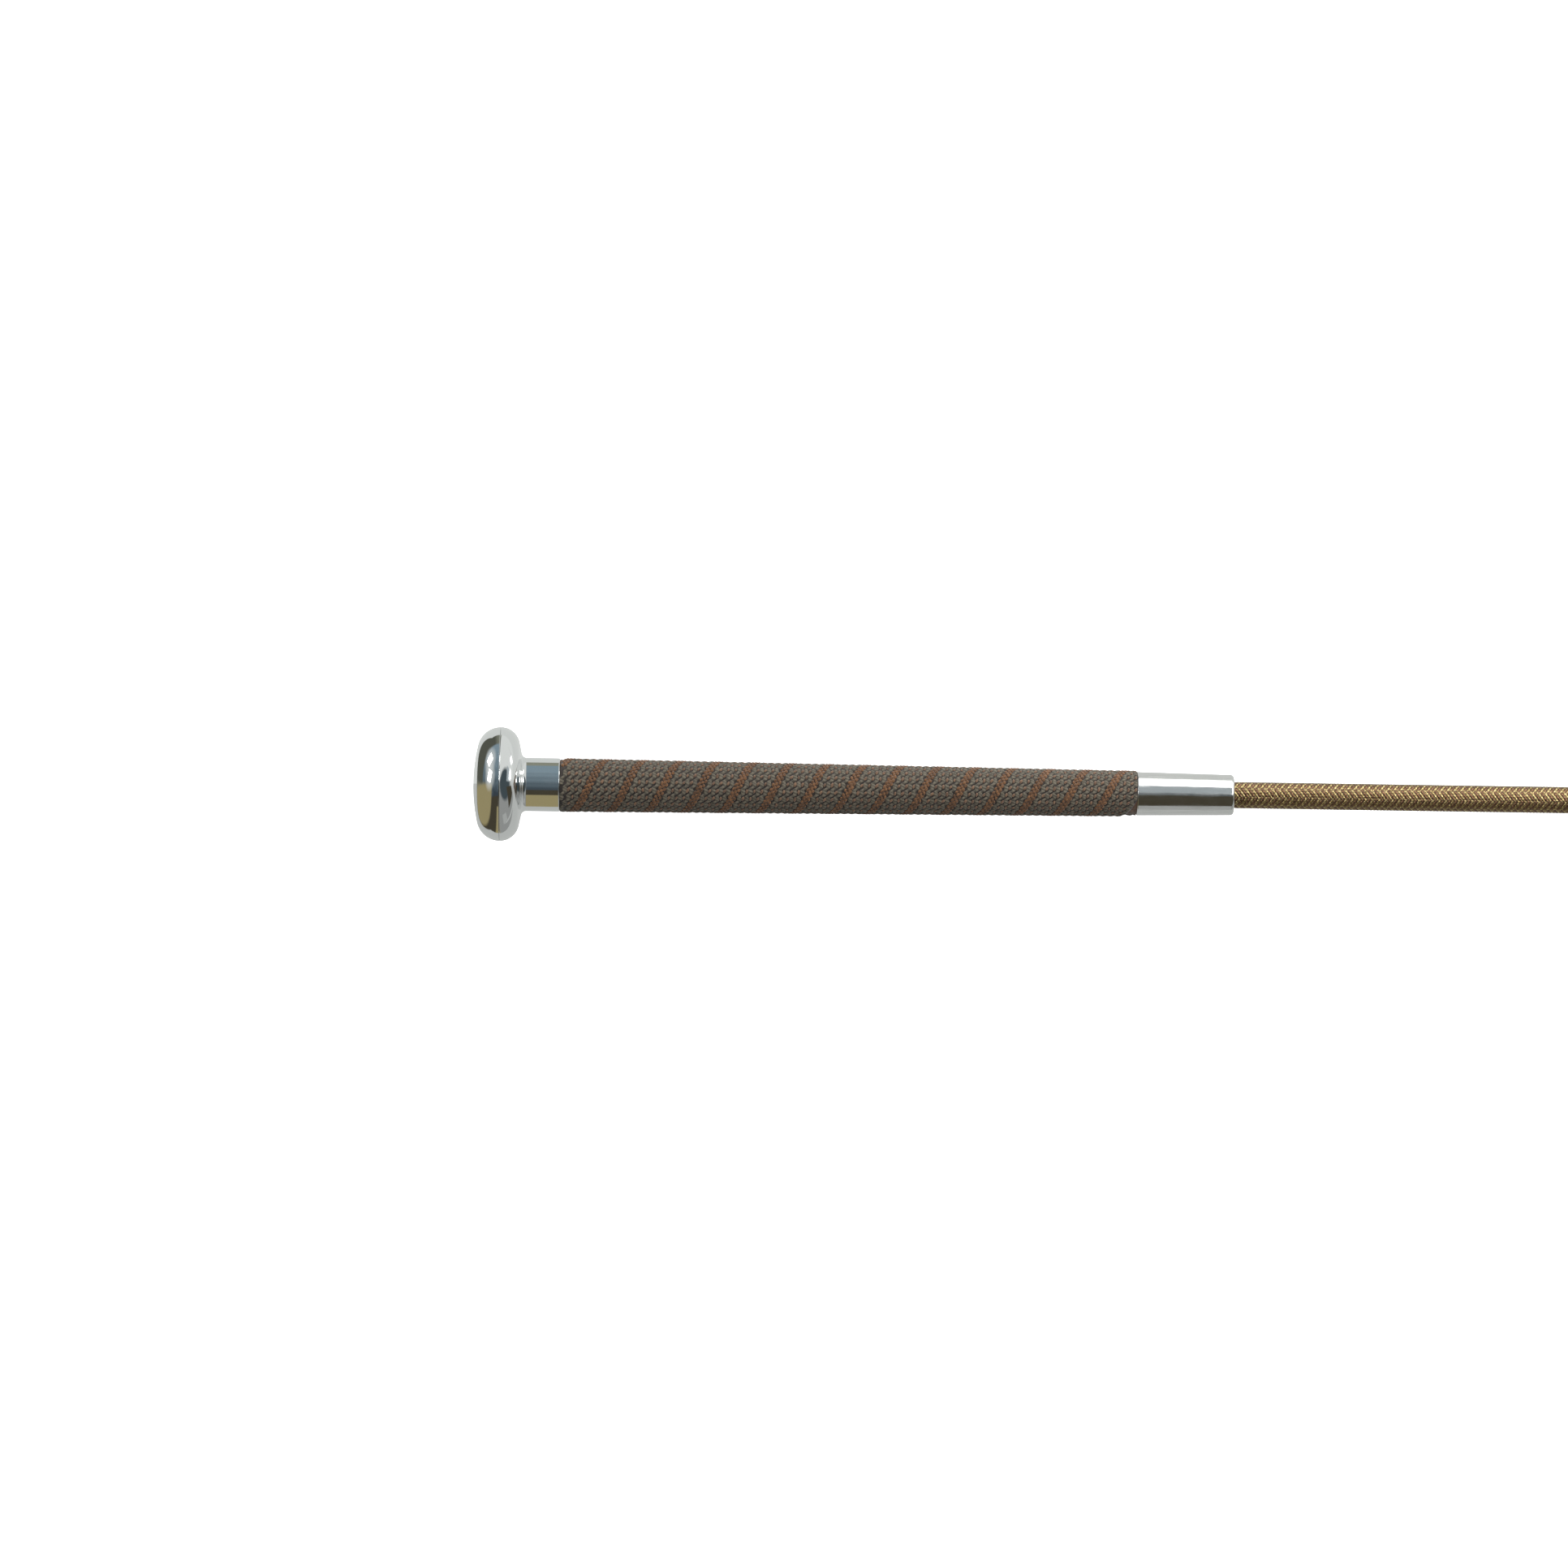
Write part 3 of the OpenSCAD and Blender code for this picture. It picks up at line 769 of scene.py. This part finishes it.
class WHIP_OT_grip(bpy.types.Operator):
    """Winds the woven tape: backing, wavy cords, weft knots and rust-coloured ribs"""
    bl_idname = "whip.grip"
    bl_label = "Tape-wound grip"
    seam = 0.1 * MM                                 # gap between two turns of the backing
    swell = 0.06 * MM                               # how far a cord sinks and swells along its waves
    knot_half = (0.42 * MM, 0.30 * MM)              # half width and half height of a weft knot
    rib_half = (0.72 * MM, 0.50 * MM, 0.40 * MM)    # half length, width and height of a rib's knot
    rib_rows = 0.80 * MM                            # distance between two rows of a rib

    def execute(self, context):
        sizes = context.scene.whip_grip
        self.start, self.end = GRIP.stations[0], GRIP.stations[-1]
        self.lane = sizes.lead / sizes.lanes
        self.first = sizes.start_turn + sizes.start_cut
        whole = sizes.start_turn + math.tau * (self.end - self.start + sizes.lead) / sizes.lead
        self.last = whole - sizes.end_cut
        self.chance = random.Random(11)
        cords = thread("tape_cord", sizes.cord_dark, sizes.cord_light, 0.75, 0.0011, 2.2)
        knots = fuzzy("tape_knot", sizes.knot_dark, sizes.knot_light, 0.8, 1500, 6e-5)
        ribs = fuzzy("tape_rib", sizes.rib_dark, sizes.rib_light, 0.8, 1200, 8e-5)
        tint = sizes.backing_tint
        backing = fuzzy("tape_backing", [c * 0.5 for c in tint], tint, 0.9, 1500, 6e-5)
        for name, mesh, material in (("tape_backing", self.backing(sizes), backing),
                                     ("tape_cords", self.cords(sizes), cords),
                                     ("tape_knots", self.knots(sizes), knots),
                                     ("tape_ribs", self.ribs(sizes), ribs)):
            finish_piece(name, mesh, material, nodes=["grip_tape"])
        return {"FINISHED"}

    def edge_at(self, sizes, angle):
        """Station of the tape's right edge at an angle that counts the turns."""
        return self.start + sizes.lead * (angle - sizes.start_turn) / math.tau

    def station(self, sizes, lane, angle):
        return self.edge_at(sizes, angle) - sizes.lead + (lane + 0.5) * self.lane

    def reach(self, sizes, lane, margin):
        """Angles at which a lane starts and ends: at the neck and the ferrule, or at the tape's cut ends."""
        turn_back = sizes.start_turn + math.tau * (sizes.lead - (lane + 0.5) * self.lane) / sizes.lead
        begins = turn_back + math.tau * margin / sizes.lead
        ends = turn_back + math.tau * (self.end - self.start - margin) / sizes.lead
        return max(begins, self.first), min(ends, self.last)

    def is_rib(self, sizes, lane):
        return lane % sizes.rib_every == 0

    def backing(self, sizes):
        """The tape's dark backing, trimmed flush at the neck and the ferrule and cut across at both ends."""
        high = np.interp(self.start, *GRIP)
        right = self.edge_at(sizes, self.first) - self.seam / 2
        across = np.linspace(right - sizes.lead + self.seam, right, sizes.lanes * 2 + 1)
        half = np.full(len(across), sizes.backing / 2)
        ring = around(np.append(across, across[::-1]), high + np.append(half, -half), self.first)
        section = bmesh.new()
        verts = [section.verts.new(point) for point in ring]
        for pair in zip(verts, verts[1:] + verts[:1]):
            section.edges.new(pair)
        mesh, _ = wound(section, sizes.lead, self.last - self.first, 72)
        s, r, angle = polar(mesh_points(mesh))
        sunk = sizes.cord_high * 0.5 + sizes.backing / 2
        set_points(mesh, around(s, r - high + np.interp(s, *GRIP) - sunk, angle))
        close_ends(mesh)
        bm = bmesh.new()
        bm.from_mesh(mesh)
        for place, way in ((self.start, -1), (self.end, 1)):
            bmesh.ops.bisect_plane(bm, geom=bm.verts[:] + bm.edges[:] + bm.faces[:], dist=1e-7,
                                   plane_co=(place, 0, 0), plane_no=(way, 0, 0), clear_outer=True)
        bm.to_mesh(mesh)
        bm.free()
        close_ends(mesh)
        return mesh

    def cords(self, sizes):
        """Grey cords that run along the tape side by side and wave in step."""
        meshes = []
        for lane in range(sizes.lanes):
            if self.is_rib(sizes, lane):
                continue
            begins, ends = self.reach(sizes, lane, 0)
            section = bmesh.new()
            high = np.interp(self.start, *GRIP)
            oval(section, self.station(sizes, lane, begins), high, begins, sizes.cord_wide / 2,
                 sizes.cord_high / 2, 8)
            mesh, carried = wound(section, sizes.lead, ends - begins, sizes.waves * 8)
            s, r, angle = polar(mesh_points(mesh))
            wave = np.sin(sizes.waves * angle) + 0.25 * np.sin(2 * sizes.waves * angle + 0.6)
            swell = self.swell * np.cos(2 * sizes.waves * angle)
            centre = np.interp(s, *GRIP) - sizes.cord_high / 2 - self.swell
            moved = np.clip(s + sizes.wave_reach * wave, self.start, self.end)
            set_points(mesh, around(moved, centre + (r - high) + swell, angle))
            middle = self.station(sizes, lane, begins + carried)
            set_attribute(mesh, "side", (s - middle) / (sizes.cord_wide / 2))
            set_attribute(mesh, "along", carried * math.hypot(high, sizes.lead / math.tau))
            meshes.append(mesh)
        mesh = joined(meshes)
        close_ends(mesh)
        return mesh

    def laid(self, sizes, station, angle, half, sunk, jitter):
        """Matrix of one small knot of thread: it lies along the tape, and is turned a little by chance."""
        high = np.interp(station, *GRIP) - sunk
        along = Vector((sizes.lead / math.tau, high * math.cos(angle), -high * math.sin(angle))).normalized()
        out = Vector((0, math.sin(angle), math.cos(angle)))
        place = Vector((station, high * math.sin(angle), high * math.cos(angle)))
        lay = Matrix((along, out.cross(along), out)).transposed().to_4x4()
        spin = Matrix.Rotation(self.chance.uniform(-jitter, jitter), 4, "Z")
        grow = self.chance.uniform(0.85, 1.15)
        shape = Matrix.Diagonal((half[0] * grow, half[1] * grow, half[2], 1))
        return Matrix.Translation(place) @ lay @ spin @ shape

    def row(self, sizes, lane, aside, per_turn, phase, half, sunk, jitter):
        """A row of knots along a lane, from its start to its end."""
        begins, ends = self.reach(sizes, lane, half[0])
        step = math.tau / per_turn
        angles = (np.arange(math.ceil(begins / step), int(ends / step)) + phase) * step
        stations = [self.station(sizes, lane, angle) + aside for angle in angles]
        return scattered([self.laid(sizes, s, angle, half, sunk, jitter)
                          for s, angle in zip(stations, angles)
                          if self.start + half[1] < s < self.end - half[1]])

    def knots(self, sizes):
        """Weft knots that show between two cords, one to each wave."""
        half = (sizes.knot_long / 2, *self.knot_half)
        pairs = [lane for lane in range(sizes.lanes - 1)
                 if not self.is_rib(sizes, lane) and not self.is_rib(sizes, lane + 1)]
        return joined([self.row(sizes, lane, self.lane / 2, sizes.waves, 0.5, half, 0.34 * MM, 0.4)
                       for lane in pairs])

    def ribs(self, sizes):
        """Ribs of rust-coloured yarn: three rows of coarse knots with pits between them."""
        rows = [(lane, side) for lane in range(0, sizes.lanes, sizes.rib_every) for side in (-1, 0, 1)]
        return joined([self.row(sizes, lane, side * self.rib_rows, sizes.rib_knots, 0.3 * side,
                                self.rib_half, 0.38 * MM, 0.5)
                       for lane, side in rows])


class WHIP_OT_braid(bpy.types.Operator):
    """Braids the shaft's cover from pairs of gold and brown threads"""
    bl_idname = "whip.braid"
    bl_label = "Braided cover"

    def execute(self, context):
        sizes = context.scene.whip_braid
        shiny = dict(roughness=0.22, strand=0.0012, ply=1.6, sheen=0.0, gloss=0.88)
        gold = thread("thread_gold", sizes.gold_dark, sizes.gold_light, **shiny)
        brown = thread("thread_brown", sizes.brown_dark, sizes.brown_light, **shiny)
        for hand, way in (("right", -1), ("left", 1)):
            for name, material, side in (("gold", gold, -1), ("brown", brown, 1)):
                mesh = self.threads(sizes, way, side)
                finish_piece(f"braid_{name}_{hand}", mesh, material, nodes=["braid_cover"])
        return {"FINISHED"}

    def threads(self, sizes, way, side):
        """All threads of one colour that run one way round: each strand lays one of each colour."""
        mouth = FERRULE.stations[-1]
        begin = mouth - 2 * MM
        end = BINDING.stations[0] + 4 * MM
        half = sizes.lead / sizes.carriers / 4
        high = np.interp(mouth + 1 * MM, *BRAID)
        crossing = math.tau / sizes.carriers / 4
        section = bmesh.new()
        for strand in range(sizes.carriers):
            angle = sizes.over_turn + crossing + strand * math.tau / sizes.carriers
            oval(section, begin + side * half, high, angle, half * 0.97, sizes.thread_high / 2, 6)
        turned = way * math.tau * (end - begin) / sizes.lead
        mesh, carried = wound(section, sizes.lead, turned, sizes.per_turn)
        s, r, angle = polar(mesh_points(mesh))
        rows = sizes.carriers / 2
        lift = -way * sizes.lift * np.cos(rows * (angle - sizes.over_turn))
        middle = begin + side * half + sizes.lead * abs(carried) / math.tau
        in_air = np.clip((s - mouth) / (0.6 * MM), 0, 1)
        cover = np.interp(np.maximum(s, mouth + 1 * MM), *BRAID) - 0.25 * MM * (1 - in_air)
        centre = cover - sizes.thread_high / 2 - sizes.lift
        set_points(mesh, around(s, r - high + centre + lift, angle))
        set_attribute(mesh, "side", (s - middle) / half)
        set_attribute(mesh, "along", abs(carried) * math.hypot(high, sizes.lead / math.tau))
        close_ends(mesh)
        return mesh


class WHIP_OT_binding(bpy.types.Operator):
    """Winds the thread binding over the tip, turn beside turn"""
    bl_idname = "whip.binding"
    bl_label = "Tip binding"

    def execute(self, context):
        sizes = context.scene.whip_tip
        start, end = BINDING.stations[0], BINDING.stations[-1]
        half = sizes.thread / 2
        high = np.interp(start, *BINDING)
        section = bmesh.new()
        oval(section, start + half, high - half, 0, half, half, 8)
        turns = (end - start - sizes.thread) / sizes.thread
        mesh, carried = wound(section, sizes.thread, math.tau * turns, 32)
        s, r, angle = polar(mesh_points(mesh))
        middle = start + half + sizes.thread * carried / math.tau
        set_points(mesh, around(s, r - high + np.interp(s, *BINDING), angle))
        set_attribute(mesh, "side", (s - middle) / half)
        set_attribute(mesh, "along", carried * high)
        close_ends(mesh)
        waxed = thread("binding_thread", sizes.thread_dark, sizes.thread_light, 0.5, 0.0009, 2.0, 0.2, 0.2)
        finish_piece("binding_thread_wound", mesh, waxed, nodes=["tip_binding"])
        return {"FINISHED"}


class WHIP_OT_lash(bpy.types.Operator):
    """Lays the loose yarns of the lash on the table"""
    bl_idname = "whip.lash"
    bl_label = "Lash"

    def execute(self, context):
        sizes = context.scene.whip_tip
        chance = random.Random(5)
        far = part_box("lash_tuft")[1].x
        pivot = Vector(frame["joints"][0]["pos_m"])
        mouth = pivot + Vector((-5 * MM, 0, 0.07 * MM))
        meshes = [self.yarn(sizes, chance, i, mouth, far) for i in range(sizes.yarns)]
        mesh = joined(meshes)
        close_ends(mesh)
        mesh.transform(WHIP.inverted())
        yarn = fuzzy("lash_yarn", sizes.yarn_dark, sizes.yarn_light, 0.8, 1300, 6e-5, 0.5)
        tuft = finish_piece("lash_yarns", mesh, yarn, None, ["lash_tuft"])
        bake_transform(tuft)
        return {"FINISHED"}

    def yarn(self, sizes, chance, number, mouth, far):
        """One twisted yarn: out of the binding side by side, then down on the table, straying at its end."""
        bundle_r = 1.15 * MM
        golden = math.pi * (3 - math.sqrt(5))
        ring = math.sqrt((number + 0.5) / sizes.yarns)
        turn_at = number * golden
        root = bundle_r * ring
        y0, z0 = root * math.cos(turn_at), root * math.sin(turn_at)
        span = far - mouth.x - chance.uniform(0, 7) * MM
        stray = sizes.fan * ring * math.cos(turn_at) * 1.3 + chance.uniform(-1, 1) * sizes.fan * 0.35
        layer = sizes.yarn_wide / 2 + (z0 / bundle_r + 1) * 0.7 * MM
        phase, wiggle = chance.uniform(0, math.tau), chance.uniform(0.2, 0.7) * MM
        steps = 48
        curve = bpy.data.curves.new("yarn", "CURVE")
        curve.dimensions = "3D"
        curve.twist_mode = "Z_UP"
        line = curve.splines.new("POLY")
        line.points.add(steps)
        for i, point in enumerate(line.points):
            t = i / steps
            free = max(0.0, (t * span - 5 * MM) / (span - 5 * MM))
            ease = free * free * (3 - 2 * free)
            fall = min(1.0, free * 2.2)
            fall = fall * fall * (3 - 2 * fall)
            y = mouth.y + y0 + stray * ease + wiggle * ease * math.sin(phase + 9 * free)
            z = (mouth.z + z0) * (1 - fall) + layer * fall + 0.12 * MM * ease * math.sin(phase + 13 * free)
            point.co = (mouth.x + t * span, y, max(z, sizes.yarn_wide / 2), 1)
            point.tilt = math.tau * t * span / sizes.yarn_twist + phase
        return self.swept(curve, sizes)

    def swept(self, curve, sizes):
        """Mesh of a curve swept with the yarn's flat section."""
        section = bpy.data.curves.new("yarn_section", "CURVE")
        ring = section.splines.new("POLY")
        sides = 8
        ring.points.add(sides - 1)
        for i, point in enumerate(ring.points):
            angle = math.tau * i / sides
            point.co = (sizes.yarn_wide / 2 * math.cos(angle), sizes.yarn_high / 2 * math.sin(angle), 0, 1)
        ring.use_cyclic_u = True
        holder = bpy.data.objects.new("yarn_section", section)
        curve.bevel_mode = "OBJECT"
        curve.bevel_object = holder
        yarn = bpy.data.objects.new("yarn", curve)
        bpy.context.scene.collection.objects.link(holder)
        bpy.context.scene.collection.objects.link(yarn)
        mesh = bpy.data.meshes.new_from_object(yarn.evaluated_get(bpy.context.evaluated_depsgraph_get()))
        bpy.data.objects.remove(yarn)
        bpy.data.objects.remove(holder)
        return mesh


class WHIP_OT_inner(bpy.types.Operator):
    """Gives the inner pieces, which keep their CAD shapes, their finishes"""
    bl_idname = "whip.inner"
    bl_label = "Inner pieces"

    def execute(self, context):
        core = moulded("core_plastic", (0.035, 0.028, 0.022), 0.55)
        steel = drawn_metal("screw_steel", (0.60, 0.60, 0.58))
        cloth = fuzzy("underlay_cloth", (0.085, 0.045, 0.025), (0.19, 0.105, 0.06), 0.85, 1600, 5e-5)
        resin = moulded("rod_glassfibre", (0.62, 0.58, 0.42), 0.3)
        tip = context.scene.whip_tip
        yarn = fuzzy("lash_root_yarn", tip.yarn_dark, tip.yarn_light, 0.8, 1300, 6e-5, 0.5)
        finishes = {"cap_core": core, "handle_core": core, "cap_screw": steel, "grip_underlay": cloth,
                    "rod": resin, "lash_root": yarn}
        for node, material in finishes.items():
            frame["nodes"][node].data.materials.clear()
            frame["nodes"][node].data.materials.append(material)
        return {"FINISHED"}


class WHIP_PT_pieces(bpy.types.Panel):
    bl_idname = "WHIP_PT_pieces"
    bl_label = "Riding whip"
    bl_space_type = "VIEW_3D"
    bl_region_type = "UI"
    bl_category = "Whip"

    def draw(self, context):
        for operator, group in STEPS:
            box = self.layout.box()
            box.operator(operator.bl_idname)
            if group:
                settings = getattr(context.scene, group)
                for name in settings.bl_rna.properties.keys():
                    if name not in ("rna_type", "name"):
                        box.prop(settings, name)


GROUPS = {"whip_stage": WhipStage, "whip_cap": WhipCap, "whip_ferrule": WhipFerrule,
          "whip_grip": WhipGrip, "whip_braid": WhipBraid, "whip_tip": WhipTip}
STEPS = ((WHIP_OT_stage, "whip_stage"), (WHIP_OT_cap, "whip_cap"), (WHIP_OT_ferrule, "whip_ferrule"),
         (WHIP_OT_grip, "whip_grip"), (WHIP_OT_braid, "whip_braid"), (WHIP_OT_binding, "whip_tip"),
         (WHIP_OT_lash, None), (WHIP_OT_inner, None))


def register():
    for name, group in GROUPS.items():
        bpy.utils.register_class(group)
        setattr(bpy.types.Scene, name, bpy.props.PointerProperty(type=group))
    for operator, _ in STEPS:
        bpy.utils.register_class(operator)
    bpy.utils.register_class(WHIP_PT_pieces)


def unregister():
    bpy.utils.unregister_class(WHIP_PT_pieces)
    for operator, _ in reversed(STEPS):
        bpy.utils.unregister_class(operator)
    for name, group in reversed(GROUPS.items()):
        delattr(bpy.types.Scene, name)
        bpy.utils.unregister_class(group)


def main():
    register()
    for operator, _ in STEPS:
        group, name = operator.bl_idname.split(".")
        getattr(getattr(bpy.ops, group), name)()


if __name__ == "__main__":
    main()
